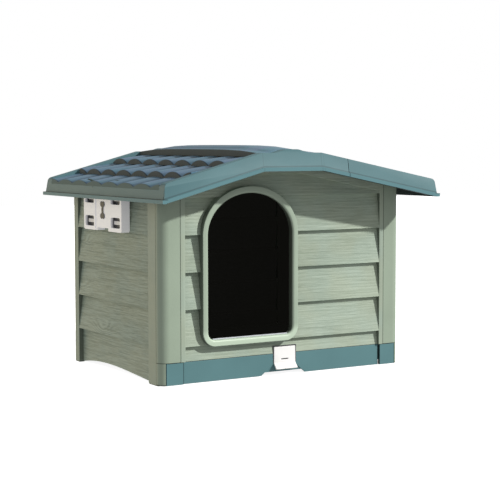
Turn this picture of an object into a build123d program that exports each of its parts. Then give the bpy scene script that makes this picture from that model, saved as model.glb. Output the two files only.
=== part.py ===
from build123d import *
import os

# Dog kennel in moulded resin: board-pattern walls on a low base, an arched open
# doorway left of centre and a tiled roof whose ridge is left of centre too.
# Millimetres. X runs across the front, Y from front to back, Z up. The origin is
# on the floor, below the middle of the roof.

# Roof
roof_width = 1100.0        # across the two eave lips
roof_depth = 940.0         # across the front and back lips
eave_top = 664.0           # top edge of the roof at the eaves
ridge_top = 761.0          # flat top beside the ridge bump
ridge_centre = -60.0       # the ridge is left of the middle
ridge_flat = 231.0         # level part between the two slopes
fascia_height = 60.0       # skirt that hangs round the roof's edge
fascia_wall = 6.0
lip_height = 12.0          # flange along the bottom of the skirt
side_lip = 9.0             # how far the flange stands out at the eaves
gable_lip = 6.0            # and at the front and back
eave_draft = 6.0           # how far the skirt leans outwards at the eaves
gable_draft = 8.0          # and at the front and back
tile_recess = 19.0         # tile bed, below the smooth gable bands
bed_thickness = 5.0
band_width = 44.0          # smooth band along each gable edge
eave_rounding = 16.0
bump_height = 11.5         # raised middle of the ridge
bump_foot = 130.0
bump_top = 46.0
bump_rounding = 50.0
bump_root = 2.0            # how far the bump runs into the flat
crown_height = 13.0        # extra height of the ridge cap halfway along
crown_power = 4            # the crown is flat in the middle and falls off at the ends
cap_wall = 5.0
shoulder_share = 0.85      # the shoulders' share of the crown
shoulder_fall = 0.5        # slight slope of the shoulders
haunch_place = 0.42        # haunches of the cap, as a share of the bump's foot
haunch_share = 0.55        # and of its rise
seam_x = 163.0             # joint between the two roof mouldings
seam_gap = 2.0

# Tiles
column_width = 120.0       # one barrel tile
course_length = 134.0
top_course_length = 116.0
shortest_course = 20.0
barrel_height = 19.0       # crest above valley at a course's lower end
barrel_tail = 4.0          # at its upper end
barrel_eave = 12.0         # and at the eave
tile_edge = 5.5            # valley above the bed at a course's lower end
tile_tail = 2.5            # and at its upper end
slot_length = 60.0         # hand slots in the left eave course
slot_width = 10.0
slot_centre = 54.0
slot_spread = 97.0
slot_inset = 30.0

# Walls
front_overhang = 143.0
back_overhang = 103.0
side_overhang = 66.0
wall_thickness = 5.0
board_pitch = 122.5
first_board_edge = 125.0
board_recess = 17.0        # top of a board, behind the foot of the next
column_front = 73.5        # corner column's width on the front and back
column_side = 34.5         # and on the sides
column_wall = 7.0
column_radius = 33.0
end_strip = 17.5           # flat strips beside the boards
top_strip_drop = 70.0      # flat strip under the roof, down to this below its top edge
side_strip_front = 54.0
side_strip_back = 24.0
base_height = 76.0         # columns and end walls start here
arch_rise = 17.0           # hollow along the foot of each side wall

# Doorway
door_centre = -148.5
door_half = 165.0
door_sill = 143.0
door_spring = 489.0        # where the arch starts
door_rise = 138.0
door_corner = 26.0
frame_bar = 21.5
frame_rise_extra = 2.0
frame_out = 16.0           # how far the surround stands out
frame_lip_depth = 16.0
frame_inner_rounding = 8.0
frame_outer_rounding = 2.5
frame_back_step = 8.0

# Base, feet and front trim
floor_top = 66.0
floor_thickness = 6.0
tray_rim = 8.0
tray_bottom = 20.0
tray_setback = 14.0        # behind the columns' faces, front and back
pad_thickness = 2.0
pad_margin = 1.5
pad_corner = 26.0          # the pads start behind the rounded corners
foot_width = 19.0
skirt_setback = 3.0        # end lengths of trim, behind the columns' faces
skirt_middle_setback = 10.0  # and the middle length
skirt_end_length = 66.0
skirt_gap = 3.0
skirt_side_gap = 1.5
skirt_chamfer = 1.5
skirt_drop = 0.5           # the trim's top, below the walls' lower edge
notch_centre = -6.0
notch_foot = 182.0
notch_head = 90.0
notch_height = 38.0        # the notch narrows inwards
notch_back_height = 12.0

# Front latch
latch_width = 87.0
latch_centre = -2.0
latch_top = 98.0
latch_setback = 6.0        # its face, behind the columns' faces
latch_bend = 42.0
latch_bottom = 24.0
latch_flare = 16.0
latch_slot = 28.0
latch_slot_height = 3.5
latch_slot_depth = 4.0
latch_slot_z = 55.0  # height of the slot above the floor
latch_corner = 3.0
latch_toe = 5.0            # thickness and drop of the flared edge
latch_toe_drop = 3.0
latch_heel = 3.0           # the back of the bend
latch_heel_drop = 6.0

# Side plates
plate_length = 297.0
plate_height = 142.0
plate_out = 31.0
plate_centre_y = 41.0
plate_centre_z = 564.0
plate_rounding = 10.0
plate_notch = 86.0
plate_notch_rise = 10.0
plate_hollow = 6.0
pocket_length = 70.0
pocket_height = 36.0
pocket_corner = 7.0
pocket_depth = 16.0
pocket_spread_y = 203.0
pocket_spread_z = 80.0
tongue_length = 46.0
tongue_height = 12.0
tongue_depth = 9.0
middle_panel_width = 112.0
middle_panel_depth = 2.0
emblem_length = 60.0
emblem_lobe = 9.5
emblem_bar = 13.0
emblem_height = 2.0

os.makedirs("parts", exist_ok=True)

# Positions that follow from the sizes above
eave_x = roof_width / 2 - side_lip
gable_y = roof_depth / 2 - gable_lip
ridge_left = ridge_centre - ridge_flat / 2
ridge_right = ridge_centre + ridge_flat / 2
roof_under = tile_recess + bed_thickness
skin_y = gable_y - gable_draft
field_half = gable_y - band_width
lip_top_drop = fascia_height - lip_height
wall_x = roof_width / 2 - side_overhang
front_y = front_overhang - roof_depth / 2
back_y = roof_depth / 2 - back_overhang
wall_depth = board_recess + wall_thickness
skirt_front = front_y + skirt_setback
skirt_middle_front = front_y + skirt_middle_setback
tray_front = front_y + tray_setback
tray_back = back_y - tray_setback
sky = ridge_top + 400.0
lip_bottom = eave_top - fascia_height


def at_y(y):
    """Upright plane across the kennel: local x is X, local y is Z."""
    return Plane.XZ.offset(-y)


def roof_line(x):
    """Height of the roof's top edge at x."""
    if x < ridge_left:
        return eave_top + (ridge_top - eave_top) * (x + eave_x) / (ridge_left + eave_x)
    if x > ridge_right:
        return eave_top + (ridge_top - eave_top) * (eave_x - x) / (eave_x - ridge_right)
    return ridge_top


def eave_at(drop):
    """Half width of the leaning skirt at a depth below the roof's top edge."""
    return eave_x - eave_draft * max(0.0, 1.0 - drop / lip_top_drop)


def roof_band(upper, lower):
    """Outline of the roof's section, from upper to lower below its top edge."""
    top = [(x, roof_line(x) - upper) for x in (-eave_at(upper), ridge_left, ridge_right, eave_at(upper))]
    low = [(x, roof_line(x) - lower) for x in (eave_at(lower), ridge_right, ridge_left, -eave_at(lower))]
    return top + low


def above_walls():
    """Everything above the underside of the tile bed."""
    xs = [-roof_width, -eave_x, ridge_left, ridge_right, eave_x, roof_width]
    low = [(x, roof_line(max(-eave_x, min(eave_x, x))) - roof_under) for x in xs]
    return low + [(roof_width, sky), (-roof_width, sky)]


def board_depth(z):
    """How far a board's face lies behind the wall's face at height z."""
    along = ((z - first_board_edge) / board_pitch) % 1.0
    return board_recess * along


def board_section(bottom, top):
    """Section of a board wall as (depth behind the face, height)."""
    edges = []
    z = first_board_edge
    while z < top - wall_thickness - 1.0:
        if z > bottom + 1.0:
            edges.append(z)
        z += board_pitch
    outer = [(board_depth(bottom), bottom)]
    inner = [(board_depth(bottom) + wall_thickness, bottom)]
    for edge in edges:
        outer += [(board_recess, edge), (0.0, edge)]
        shelf = edge + wall_thickness
        inner += [(board_recess + wall_thickness, shelf), (board_depth(shelf) + wall_thickness, shelf)]
    outer.append((board_depth(top), top))
    inner.append((board_depth(top) + wall_thickness, top))
    return outer + inner[::-1]


def arch_sketch(grow, rise_grow):
    """Arched outline of the doorway, grown outwards by a margin."""
    half = door_half + grow
    bottom = door_sill - grow
    with BuildSketch(Plane.XY) as arch:
        with Locations((door_centre, (bottom + door_spring) / 2)):
            Rectangle(2 * half, door_spring - bottom)
        fillet(arch.vertices().group_by(Axis.Y)[0], radius=door_corner + grow)
        with Locations((door_centre, door_spring)):
            Ellipse(half, door_rise + grow + rise_grow)
    return arch.sketch


# Base tray: a floor with a rim that the walls stand round
with BuildPart() as base_tray:
    tray_half = wall_x - wall_depth
    with BuildSketch(Plane.XY.offset(tray_bottom)):
        with Locations((0, (tray_front + tray_back) / 2)):
            Rectangle(2 * tray_half, tray_back - tray_front)
    extrude(amount=base_height - tray_bottom)
    with BuildSketch(Plane.XY.offset(floor_top)):
        with Locations((0, (tray_front + tray_back) / 2)):
            Rectangle(2 * (tray_half - tray_rim), tray_back - tray_front - 2 * tray_rim)
    extrude(amount=base_height, mode=Mode.SUBTRACT)
    with BuildSketch(Plane.XY.offset(tray_bottom)):
        with Locations((0, (tray_front + tray_back) / 2)):
            Rectangle(2 * (tray_half - tray_rim), tray_back - tray_front - 2 * tray_rim)
    extrude(amount=floor_top - floor_thickness - tray_bottom, mode=Mode.SUBTRACT)
base_tray.part.label = "base_tray"
export_step(base_tray.part, "parts/base_tray.step")


# Front and back walls between the corner columns
for wall_name, face_y, inward in (("front_wall", front_y, 1), ("back_wall", back_y, -1)):
    with BuildPart() as end_wall:
        wall_end = wall_x - column_front
        board_end = wall_end - end_strip
        with BuildSketch(Plane.YZ.offset(-board_end - 1.0)):
            with BuildLine():
                Polyline([(face_y + inward * d, z) for d, z in board_section(base_height, ridge_top)],
                         close=True)
            make_face()
        extrude(amount=2 * board_end + 2.0)
        for side in (-1, 1):
            with BuildSketch(Plane.XY.offset(base_height)):
                with Locations((side * (wall_end + board_end) / 2, face_y + inward * wall_depth / 2)):
                    Rectangle(end_strip, wall_depth)
            extrude(amount=ridge_top - base_height)
        with BuildSketch(at_y(max(face_y, face_y + inward * wall_depth))):
            with BuildLine():
                xs = [-wall_end, ridge_left, ridge_right, wall_end]
                Polyline([(x, roof_line(x)) for x in xs]
                         + [(x, roof_line(x) - top_strip_drop) for x in reversed(xs)], close=True)
            make_face()
        extrude(amount=wall_depth)
        with BuildSketch(at_y(face_y)):
            with BuildLine():
                Polyline(above_walls(), close=True)
            make_face()
        extrude(amount=2 * wall_depth, both=True, mode=Mode.SUBTRACT)
        if wall_name == "front_wall":
            with BuildSketch(at_y(face_y)):
                add(arch_sketch(frame_bar, frame_rise_extra))
            extrude(amount=2 * wall_depth, both=True, mode=Mode.SUBTRACT)
    end_wall.part.label = wall_name
    export_step(end_wall.part, "parts/" + wall_name + ".step")


# Side walls, with a shallow hollow along the bottom
side_start = front_y + column_side
side_end = back_y - column_side
for wall_name, side in (("left_wall", -1), ("right_wall", 1)):
    with BuildPart() as side_wall:
        board_start = side_start + side_strip_front
        board_stop = side_end - side_strip_back
        with BuildSketch(at_y(board_stop + 1.0)):
            with BuildLine():
                Polyline([(side * (wall_x - d), z) for d, z in board_section(pad_thickness, ridge_top)],
                         close=True)
            make_face()
        extrude(amount=board_stop - board_start + 2.0)
        for start, stop in ((side_start, board_start), (board_stop, side_end)):
            with BuildSketch(Plane.XY.offset(pad_thickness)):
                with Locations((side * (wall_x - wall_depth / 2), (start + stop) / 2)):
                    Rectangle(wall_depth, stop - start)
            extrude(amount=ridge_top)
        with BuildSketch(at_y(0)):
            with BuildLine():
                Polyline(above_walls(), close=True)
            make_face()
        extrude(amount=roof_depth, both=True, mode=Mode.SUBTRACT)
        span = board_stop - board_start
        with BuildSketch(Plane.YZ.offset(-wall_x - 10.0)):
            with BuildLine():
                Spline([(board_start, pad_thickness),
                        (board_start + 0.30 * span, pad_thickness + 0.66 * arch_rise),
                        (board_start + 0.70 * span, pad_thickness + arch_rise),
                        (board_stop, pad_thickness)])
                Polyline([(board_stop, pad_thickness), (board_stop, -20.0),
                          (board_start, -20.0), (board_start, pad_thickness)])
            make_face()
        extrude(amount=2 * wall_x + 20.0, mode=Mode.SUBTRACT)
    side_wall.part.label = wall_name
    export_step(side_wall.part, "parts/" + wall_name + ".step")


# Corner columns, the feet below them and their pads
for end_name, end_y, inward in (("front", front_y, 1), ("back", back_y, -1)):
    for side_name, side in (("left", -1), ("right", 1)):
        tag = end_name + "_" + side_name
        corner = (side * wall_x, end_y, 0.0)
        with BuildPart() as column:
            with BuildSketch(Plane.XY.offset(base_height)) as shell:
                with Locations((side * (wall_x - column_front / 2), end_y + inward * column_side / 2)):
                    Rectangle(column_front, column_side)
                outer = shell.vertices().sort_by_distance(corner)[0]
                fillet(outer, radius=column_radius)
            extrude(amount=ridge_top - base_height)
            with BuildSketch(Plane.XY.offset(base_height)) as core:
                with Locations((side * (wall_x - column_wall - column_front / 2),
                                end_y + inward * (column_wall + column_side / 2))):
                    Rectangle(column_front, column_side)
                inside = (side * (wall_x - column_wall), end_y + inward * column_wall, 0.0)
                fillet(core.vertices().sort_by_distance(inside)[0], radius=column_radius - column_wall)
            extrude(amount=ridge_top - base_height, mode=Mode.SUBTRACT)
            with BuildSketch(at_y(0)):
                with BuildLine():
                    Polyline(above_walls(), close=True)
                make_face()
            extrude(amount=roof_depth, both=True, mode=Mode.SUBTRACT)
        column.part.label = "column_" + tag
        export_step(column.part, "parts/column_" + tag + ".step")

        with BuildPart() as foot:
            with BuildSketch(Plane.XY.offset(pad_thickness)) as block:
                with Locations((side * (wall_x - column_front / 2), end_y + inward * column_side / 2)):
                    Rectangle(column_front, column_side)
                outer = block.vertices().sort_by_distance(corner)[0]
                fillet(outer, radius=column_radius)
                with Locations((side * (wall_x - wall_depth - column_front / 2),
                                end_y + inward * column_side / 2)):
                    Rectangle(column_front, column_side, mode=Mode.SUBTRACT)
                with Locations((side * (wall_x - foot_width - wall_depth / 2), end_y)):
                    Rectangle(wall_depth, 2 * tray_setback, mode=Mode.SUBTRACT)
            extrude(amount=base_height - pad_thickness)
        foot.part.label = "foot_" + tag
        export_step(foot.part, "parts/foot_" + tag + ".step")

        strip = side_strip_front if end_name == "front" else side_strip_back
        with BuildPart() as pad:
            with BuildSketch(Plane.XY):
                pad_stop = column_side + strip - pad_margin
                with Locations((side * (wall_x - wall_depth / 2),
                                end_y + inward * (pad_corner + pad_stop) / 2)):
                    Rectangle(wall_depth - 2 * pad_margin, pad_stop - pad_corner)
            extrude(amount=pad_thickness)
        pad.part.label = "pad_" + tag
        export_step(pad.part, "parts/pad_" + tag + ".step")


# Trim along the foot of the front, in three lengths, and a plain one at the back
skirt_half = wall_x - foot_width - skirt_side_gap
skirt_inner = skirt_half - skirt_end_length
skirt_top = base_height - skirt_drop
skirt_joint = skirt_gap / 2
for skirt_name, x0, x1, face_y in (
        ("trim_left", -skirt_half, -skirt_inner - skirt_joint, skirt_front),
        ("trim_middle", -skirt_inner + skirt_joint, skirt_inner - skirt_joint, skirt_middle_front),
        ("trim_right", skirt_inner + skirt_joint, skirt_half, skirt_front)):
    with BuildPart() as trim:
        with BuildSketch(at_y(tray_front)):
            with Locations(((x0 + x1) / 2, (pad_thickness + skirt_top) / 2)):
                Rectangle(x1 - x0, skirt_top - pad_thickness)
        extrude(amount=tray_front - face_y)
        chamfer(trim.faces().sort_by(Axis.Y)[0].edges().group_by(Axis.Z)[-1], length=skirt_chamfer)
        if skirt_name == "trim_middle":
            for notch_y, height in ((face_y, notch_height), (tray_front, notch_back_height)):
                inset = (notch_foot - notch_head) / 2 * height / notch_height
                with BuildSketch(at_y(notch_y)):
                    with BuildLine():
                        Polyline([(notch_centre - notch_foot / 2, 0.0),
                                  (notch_centre - notch_foot / 2 + inset, height),
                                  (notch_centre + notch_foot / 2 - inset, height),
                                  (notch_centre + notch_foot / 2, 0.0)], close=True)
                    make_face()
            loft(ruled=True, mode=Mode.SUBTRACT)
    trim.part.label = skirt_name
    export_step(trim.part, "parts/" + skirt_name + ".step")

with BuildPart() as trim_back:
    with BuildSketch(at_y(back_y - skirt_setback)):
        with Locations((0, (pad_thickness + skirt_top) / 2)):
            Rectangle(2 * skirt_half, skirt_top - pad_thickness)
    extrude(amount=back_y - skirt_setback - tray_back)
trim_back.part.label = "trim_back"
export_step(trim_back.part, "parts/trim_back.step")


# Rounded surround of the doorway, through the wall
with BuildPart() as door_frame:
    with BuildSketch(at_y(front_y + wall_depth)):
        add(arch_sketch(frame_bar, frame_rise_extra))
    extrude(amount=wall_depth + frame_out)
    with BuildSketch(at_y(front_y + wall_depth)):
        add(arch_sketch(0.0, 0.0))
    extrude(amount=wall_depth + frame_out, mode=Mode.SUBTRACT)
    front_face = door_frame.faces().sort_by(Axis.Y)[0]
    fillet(front_face.outer_wire().edges(), radius=frame_outer_rounding)
    front_face = door_frame.faces().sort_by(Axis.Y)[0]
    fillet(front_face.inner_wires()[0].edges(), radius=frame_inner_rounding)
    with BuildSketch(at_y(front_y + wall_depth)):
        add(arch_sketch(frame_back_step, 0.0))
    extrude(amount=wall_depth + frame_out - frame_lip_depth, mode=Mode.SUBTRACT)
door_frame.part.label = "door_frame"
export_step(door_frame.part, "parts/door_frame.step")


# Latch plate at the foot of the front, flared out at its lower end
with BuildPart() as latch:
    back = skirt_middle_front
    front = front_y + latch_setback
    with BuildSketch(Plane.YZ.offset(latch_centre - latch_width / 2)):
        with BuildLine():
            Polyline([(back, latch_top), (front, latch_top), (front, latch_bend),
                      (front - latch_flare, latch_bottom),
                      (front - latch_flare + latch_toe, latch_bottom - latch_toe_drop),
                      (back - latch_heel, latch_bend - latch_heel_drop), (back, latch_bend)],
                     close=True)
        make_face()
    extrude(amount=latch_width)
    with BuildSketch(at_y(front)):
        with Locations((latch_centre, latch_slot_z)):
            Rectangle(latch_slot, latch_slot_height)
    extrude(amount=-latch_slot_depth, mode=Mode.SUBTRACT)
    fillet(latch.edges().filter_by(Axis.Y).group_by(Axis.Z)[-1], radius=latch_corner)
latch.part.label = "latch"
export_step(latch.part, "parts/latch.step")


# White plate high on each side wall, with four pockets and a bone in relief
for side_name, side in (("left", -1), ("right", 1)):
    face_x = wall_x + plate_out
    with BuildPart() as plate:
        with BuildSketch(Plane.YZ.offset(side * wall_x)) as outline:
            with Locations((plate_centre_y, plate_centre_z)):
                Rectangle(plate_length, plate_height)
            fillet(outline.vertices(), radius=plate_rounding)
            for up in (-1, 1):
                with Locations((plate_centre_y, plate_centre_z + up * plate_height / 2)):
                    Rectangle(plate_notch, 2 * plate_notch_rise, mode=Mode.SUBTRACT)
        extrude(amount=side * plate_out)
        with BuildSketch(Plane.YZ.offset(side * face_x)):
            with Locations((plate_centre_y, plate_centre_z)):
                Rectangle(middle_panel_width, plate_height + 2.0)
        extrude(amount=-side * middle_panel_depth, mode=Mode.SUBTRACT)
        with BuildSketch(Plane.YZ.offset(side * face_x)) as pockets:
            with Locations((plate_centre_y, plate_centre_z)):
                with GridLocations(pocket_spread_y, pocket_spread_z, 2, 2):
                    RectangleRounded(pocket_length, pocket_height, pocket_corner)
        extrude(amount=-side * pocket_depth, mode=Mode.SUBTRACT)
        with BuildSketch(Plane.YZ.offset(side * (face_x - pocket_depth))):
            with Locations((plate_centre_y, plate_centre_z)):
                with GridLocations(pocket_spread_y, pocket_spread_z, 2, 2):
                    Rectangle(tongue_length, tongue_height)
        extrude(amount=side * tongue_depth)
    plate.part.label = "plate_" + side_name
    export_step(plate.part, "parts/plate_" + side_name + ".step")

    with BuildPart() as emblem:
        with BuildSketch(Plane.YZ.offset(side * (face_x - middle_panel_depth))):
            with Locations((plate_centre_y, plate_centre_z)):
                Rectangle(emblem_bar, emblem_length - 2 * emblem_lobe)
                with GridLocations(1.5 * emblem_lobe, emblem_length - 2 * emblem_lobe, 2, 2):
                    Circle(emblem_lobe)
        extrude(amount=side * emblem_height)
    emblem.part.label = "emblem_" + side_name
    export_step(emblem.part, "parts/emblem_" + side_name + ".step")


# Roof: two hollow mouldings that meet at a seam right of the ridge
def ridge_bump():
    """Outline of the raised middle of the ridge, standing on the flat."""
    half_foot = bump_foot / 2
    half_top = bump_top / 2
    root = half_foot + bump_root
    base = ridge_top - bump_root
    top = ridge_top + bump_height
    return [(ridge_centre - root, base), (ridge_centre - half_foot, ridge_top),
            (ridge_centre - half_top, top), (ridge_centre + half_top, top),
            (ridge_centre + half_foot, ridge_top), (ridge_centre + root, base)]


for side_name, side in (("left", -1), ("right", 1)):
    with BuildPart() as shell:
        with BuildSketch(at_y(skin_y)):
            with BuildLine():
                Polyline(roof_band(tile_recess, roof_under), close=True)
            make_face()
        extrude(amount=2 * skin_y)
        for end_y in (skin_y, -field_half):
            with BuildSketch(at_y(end_y)):
                with BuildLine():
                    Polyline(roof_band(0.0, roof_under), close=True)
                make_face()
            extrude(amount=skin_y - field_half)
        for end in (-1, 1):
            with BuildSketch(at_y(end * skin_y)):
                with BuildLine():
                    Polyline(roof_band(0.0, fascia_height), close=True)
                make_face()
            with BuildSketch(at_y(end * gable_y)):
                with BuildLine():
                    Polyline(roof_band(lip_top_drop, fascia_height), close=True)
                make_face()
            loft(ruled=True)
        for end_y in (skin_y, fascia_wall - skin_y):
            with BuildSketch(at_y(end_y)):
                with BuildLine():
                    Polyline(roof_band(0.0, fascia_height), close=True)
                make_face()
            extrude(amount=fascia_wall)
        for end_y in (gable_y + gable_lip, fascia_wall - gable_y):
            with BuildSketch(at_y(end_y)):
                with BuildLine():
                    Polyline(roof_band(lip_top_drop, fascia_height), close=True)
                make_face()
            extrude(amount=fascia_wall + gable_lip)
        with BuildSketch(at_y(skin_y)):
            with BuildLine():
                bed_x = eave_at(tile_recess)
                skirt = [(side * eave_x, lip_bottom), (side * eave_x, lip_bottom + lip_height),
                         (side * bed_x, roof_line(bed_x) - tile_recess)]
                Polyline(skirt + [(x - side * fascia_wall, z) for x, z in reversed(skirt)], close=True)
            make_face()
        extrude(amount=2 * skin_y)
        with BuildSketch(Plane.XY.offset(lip_bottom)):
            with Locations((side * (eave_x + (side_lip - fascia_wall) / 2), 0)):
                Rectangle(side_lip + fascia_wall, roof_depth)
        extrude(amount=lip_height)
        eave_edges = [e for e in shell.edges().filter_by(Axis.Y)
                      if abs(e.center().X - side * eave_at(0.0)) < 0.5 and e.center().Z > eave_top]
        fillet(eave_edges, radius=eave_rounding)
        if side < 0:
            for end_y in (skin_y, -field_half):
                with BuildSketch(at_y(end_y)) as bump:
                    with BuildLine():
                        Polyline(ridge_bump(), close=True)
                    make_face()
                    tops = bump.vertices().group_by(Axis.Y)[-1]
                    fillet(tops, radius=bump_rounding)
                extrude(amount=skin_y - field_half)
        cut_x = seam_x - seam_gap / 2 if side < 0 else seam_x + seam_gap / 2
        with BuildSketch(Plane.XY):
            with Locations((cut_x - side * roof_width, 0)):
                Rectangle(2 * roof_width, 2 * roof_depth)
        extrude(amount=sky, mode=Mode.SUBTRACT)
    shell.part.label = "roof_" + side_name
    export_step(shell.part, "parts/roof_" + side_name + ".step")


# Ridge cap, slightly crowned along its length
cap_sections = 8
with BuildPart() as ridge_cap:
    cap_bed = ridge_top - tile_recess
    for i in range(cap_sections + 1):
        y = -field_half + 2 * field_half * i / cap_sections
        lift = crown_height * (1.0 - (y / field_half) ** crown_power)
        shoulder = ridge_top + shoulder_share * lift
        top = ridge_top + bump_height + lift
        haunch = shoulder + haunch_share * (top - shoulder)
        half_foot = bump_foot / 2
        with BuildSketch(at_y(y)):
            with BuildLine():
                Polyline([(ridge_left, cap_bed), (ridge_left, shoulder),
                          (ridge_centre - half_foot, shoulder + shoulder_fall),
                          (ridge_centre - haunch_place * bump_foot, haunch),
                          (ridge_centre - bump_top / 2, top), (ridge_centre + bump_top / 2, top),
                          (ridge_centre + haunch_place * bump_foot, haunch),
                          (ridge_centre + half_foot, shoulder + shoulder_fall),
                          (ridge_right, shoulder), (ridge_right, cap_bed)], close=True)
            make_face()
    loft(ruled=True)
    with BuildSketch(Plane.XY.offset(cap_bed)):
        with Locations((ridge_centre, 0)):
            Rectangle(ridge_flat - 2 * cap_wall, 2 * (field_half - cap_wall))
    extrude(amount=tile_recess - cap_wall, mode=Mode.SUBTRACT)
ridge_cap.part.label = "ridge_cap"
export_step(ridge_cap.part, "parts/ridge_cap.step")


# Tile courses: barrels side by side, every other course half a barrel along, with the
# eave course in line with the one above it
columns = max(2, round(2 * field_half / column_width))
pitch_y = 2 * field_half / columns


def barrel_height_at(y, shift, height):
    """Height of the barrels' surface above their valleys."""
    u = ((y + field_half) / pitch_y + shift) % 1.0
    return height * (1.0 - (2.0 * u - 1.0) ** 2)


def tile_face(x, foot_offset, height, shift):
    """Upright section across the barrels at x."""
    bed = roof_line(x) - tile_recess
    base = bed + foot_offset
    stops = [0.0] + [(i + 0.5) * pitch_y for i in range(columns)] + [2 * field_half]
    if shift < 0.25:
        stops = [i * pitch_y for i in range(columns + 1)]
    with BuildSketch(Plane.YZ.offset(x)) as face:
        with BuildLine():
            Polyline([(-field_half, base + barrel_height_at(-field_half, shift, height)),
                      (-field_half, bed), (field_half, bed),
                      (field_half, base + barrel_height_at(field_half, shift, height))])
            for a, b in zip(stops[:-1], stops[1:]):
                ya, yb = a - field_half, b - field_half
                ym = (ya + yb) / 2
                ThreePointArc((ya, base + barrel_height_at(ya, shift, height)),
                              (ym, base + barrel_height_at(ym, shift, height)),
                              (yb, base + barrel_height_at(yb, shift, height)))
        make_face()
    return face.sketch


def course_stops(ridge_x):
    """Distances down the slope at which the courses end."""
    run = eave_at(tile_recess) - abs(ridge_x)
    stops = [0.0, top_course_length]
    while stops[-1] + course_length < run - shortest_course:
        stops.append(stops[-1] + course_length)
    return stops + [run]


for side_name, side, ridge_x in (("left", -1, ridge_left), ("right", 1, ridge_right)):
    stops = course_stops(ridge_x)
    count = len(stops) - 1
    for i in range(count):
        upper_x = ridge_x + side * stops[i]
        lower_x = ridge_x + side * stops[i + 1]
        shift = 0.5 * (min(i, count - 2) % 2)
        lower_height = barrel_eave if i == count - 1 else barrel_height
        with BuildPart() as course:
            add(tile_face(upper_x, tile_tail, barrel_tail, shift))
            add(tile_face(lower_x, tile_edge, lower_height, shift))
            loft(ruled=True)
            if i == count - 1:
                bed = roof_line(lower_x) - tile_recess
                with BuildSketch(at_y(0)):
                    with BuildLine():
                        Polyline([(side * eave_at(tile_recess), bed),
                                  (side * eave_at(-tile_recess), bed + 2 * tile_recess),
                                  (side * roof_width, bed + 2 * tile_recess),
                                  (side * roof_width, bed)], close=True)
                    make_face()
                extrude(amount=roof_depth, both=True, mode=Mode.SUBTRACT)
            if side < 0 and i == count - 1:
                with BuildSketch(Plane.XY.offset(lip_bottom)):
                    for along in (slot_centre - slot_spread, slot_centre + slot_spread):
                        with Locations((lower_x + slot_inset, along)):
                            Rectangle(slot_width, slot_length)
                extrude(amount=sky, mode=Mode.SUBTRACT)
        course_name = "tiles_" + side_name + "_" + str(i + 1)
        course.part.label = course_name
        export_step(course.part, "parts/" + course_name + ".step")
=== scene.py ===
import math

import bpy
from bpy.props import FloatProperty, FloatVectorProperty, PointerProperty
from mathutils import Matrix, Vector


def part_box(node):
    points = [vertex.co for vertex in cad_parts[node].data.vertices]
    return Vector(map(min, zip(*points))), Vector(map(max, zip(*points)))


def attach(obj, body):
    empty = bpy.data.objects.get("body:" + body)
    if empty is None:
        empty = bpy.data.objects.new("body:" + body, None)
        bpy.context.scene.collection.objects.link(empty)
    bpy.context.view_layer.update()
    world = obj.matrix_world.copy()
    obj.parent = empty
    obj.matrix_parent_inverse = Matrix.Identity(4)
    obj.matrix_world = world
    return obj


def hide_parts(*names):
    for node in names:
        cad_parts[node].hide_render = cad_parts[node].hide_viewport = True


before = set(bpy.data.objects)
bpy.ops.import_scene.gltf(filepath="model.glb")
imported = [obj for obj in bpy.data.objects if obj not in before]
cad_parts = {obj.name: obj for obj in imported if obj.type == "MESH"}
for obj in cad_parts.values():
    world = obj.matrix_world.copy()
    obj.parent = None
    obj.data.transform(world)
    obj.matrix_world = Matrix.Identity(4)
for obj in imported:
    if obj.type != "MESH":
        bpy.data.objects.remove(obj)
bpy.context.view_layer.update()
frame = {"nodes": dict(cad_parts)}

bl_info = {
    "name": "Dog kennel",
    "version": (1, 0, 0),
    "blender": (4, 5, 0),
    "location": "View3D > Sidebar > Kennel",
    "description": "Finishes a moulded dog kennel: boards, doorway, trim, tiled roof and stage",
    "category": "Object",
}

BODY = "root"

# Walls, columns and feet
FRONT_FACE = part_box("column_front_left")[0].y
FRONT_SEAM_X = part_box("front_wall")[1].x
SIDE_SEAM_FRONT, SIDE_SEAM_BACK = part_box("left_wall")[0].y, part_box("left_wall")[1].y
COLUMN_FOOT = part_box("column_front_left")[0].z
END_STRIP = 0.0175                  # flat strips at the ends of the front and back boards
SIDE_STRIP_FRONT, SIDE_STRIP_BACK = 0.054, 0.024
SEAM = 0.0012                       # half width of the seams, painted dark as shade in the joints
FOOT_LINE = 0.0030                  # dark line at the very bottom of the feet
BACK_ROUNDING = 0.0004              # small, so that no light slips in above the back trim

# Side plates: their pockets, and how far apart the pockets are
POCKET_LENGTH, POCKET_HEIGHT = 0.070, 0.036
POCKET_SPREAD_Y, POCKET_SPREAD_Z = 0.203, 0.080

# Doorway: the bead on its sill, and the lit length of the surround below the sill
SILL_INSET, SILL_BEAD, SILL_RISE, SILL_PROUD = 0.041, 0.0026, 0.0235, 0.006
SILL_LIT_LOW, SILL_LIT_HIGH = 0.028, 0.060

# Latch: the dark plate behind it, painted shade that shows as a line round it
SHADE_PLATE_MARGIN, SHADE_PLATE_SHIFT, SHADE_PLATE_RISE = 0.0038, 0.0014, 0.022
SHADE_PLATE_PROUD, SHADE_PLATE_SUNK = 0.0008, 0.0135

# Roof: its flange, the edges of the ridge, and the mark on the left eave
ROOF_LOW, ROOF_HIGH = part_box("roof_left")[0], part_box("roof_right")[1]
EAVE_LIP, GABLE_LIP, LIP_HEIGHT = 0.009, 0.006, 0.012
RIDGE_LEFT, RIDGE_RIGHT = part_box("ridge_cap")[0].x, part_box("ridge_cap")[1].x
MARK_Y, MARK_Z = 0.0687, 0.647

# Tiles: seven barrels side by side, and the shaded foot of the ridge cap's flanks
TILE_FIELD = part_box("tiles_left_1")[1].y
TILE_BARRELS = 7
TILE_PITCH = 2 * TILE_FIELD / TILE_BARRELS
TILE_TURN = 42.0                    # edges that turn less than this stay sharp
RIM_SHADE, EAVE_RIM_SHADE = 0.9, 0.5
CAP_SHADE = 0.0065
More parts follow.
